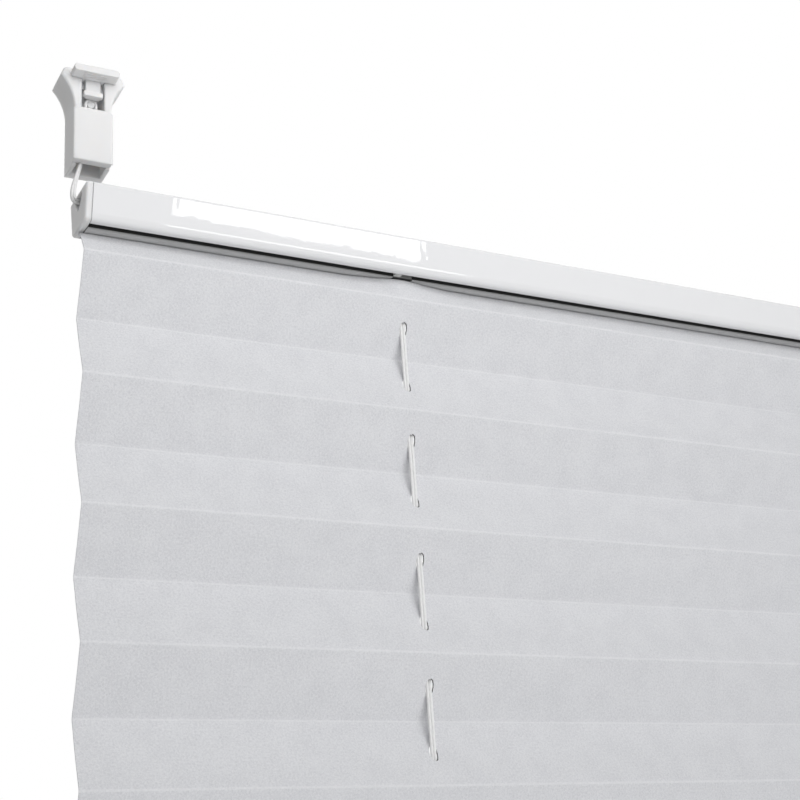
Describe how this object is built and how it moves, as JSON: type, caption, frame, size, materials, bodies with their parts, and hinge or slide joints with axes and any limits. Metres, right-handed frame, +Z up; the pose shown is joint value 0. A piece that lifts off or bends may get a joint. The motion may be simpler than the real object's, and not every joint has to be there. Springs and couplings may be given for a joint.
{
  "type": "pleated blind",
  "caption": "Pleated blind with two rails that slide on tensioned cords between corner shoes, with a punched pleated cloth hung between the rails.",
  "frame": {"origin": "midway between the screw holes of the two upper shoes, on the window face that the shoes sit against", "axes": "+X along the rails to the viewer's right, +Y back into the window, +Z up; the front of the blind faces -Y"},
  "size_m": [0.6116, 0.0179, 1.0919],
  "materials": {
    "rail_white": "extruded, glossy white coat",
    "moulded_white": "moulded, satin gloss",
    "moulded_grey": "moulded, matt",
    "cloth_white": "fine crepe, set pleats",
    "cord_white": "thin braid"
  },
  "bodies": {
    "fixings": {"top_left_shoe": "moulded_white", "top_right_shoe": "moulded_white", "bottom_left_shoe": "moulded_white", "bottom_right_shoe": "moulded_white", "top_left_tension_hook": "moulded_white", "top_right_tension_hook": "moulded_white", "bottom_left_tension_hook": "moulded_white", "bottom_right_tension_hook": "moulded_white", "pleated_cloth": "cloth_white", "left_column_cord": "cord_white", "right_column_cord": "cord_white", "top_left_end_cord": "cord_white", "top_right_end_cord": "cord_white", "bottom_left_end_cord": "cord_white", "bottom_right_end_cord": "cord_white"},
    "upper_rail": {"top_rail": "rail_white", "top_cloth_strip": "moulded_grey", "top_rail_left_cord": "cord_white", "top_rail_right_cord": "cord_white", "top_left_end_cap": "moulded_white", "top_right_end_cap": "moulded_white", "top_left_cord_guide": "moulded_grey", "top_right_cord_guide": "moulded_grey"},
    "lower_rail": {"bottom_rail": "rail_white", "bottom_cloth_strip": "moulded_grey", "bottom_rail_left_cord": "cord_white", "bottom_rail_right_cord": "cord_white", "bottom_left_end_cap": "moulded_white", "bottom_right_end_cap": "moulded_white", "bottom_left_cord_guide": "moulded_grey", "bottom_right_cord_guide": "moulded_grey"}
  },
  "joints": [
    {"name": "top_rail_slide", "type": "slide", "parent": "fixings", "child": "upper_rail", "axis": [0, 0, 1], "range_m": [-0.47, 0], "deforming": ["pleated_cloth", "left_column_cord", "right_column_cord", "top_left_end_cord", "top_right_end_cord"]},
    {"name": "bottom_rail_slide", "type": "slide", "parent": "fixings", "child": "lower_rail", "axis": [0, 0, 1], "range_m": [0, 0.47], "deforming": ["pleated_cloth", "left_column_cord", "right_column_cord", "bottom_left_end_cord", "bottom_right_end_cord"]}
  ]
}
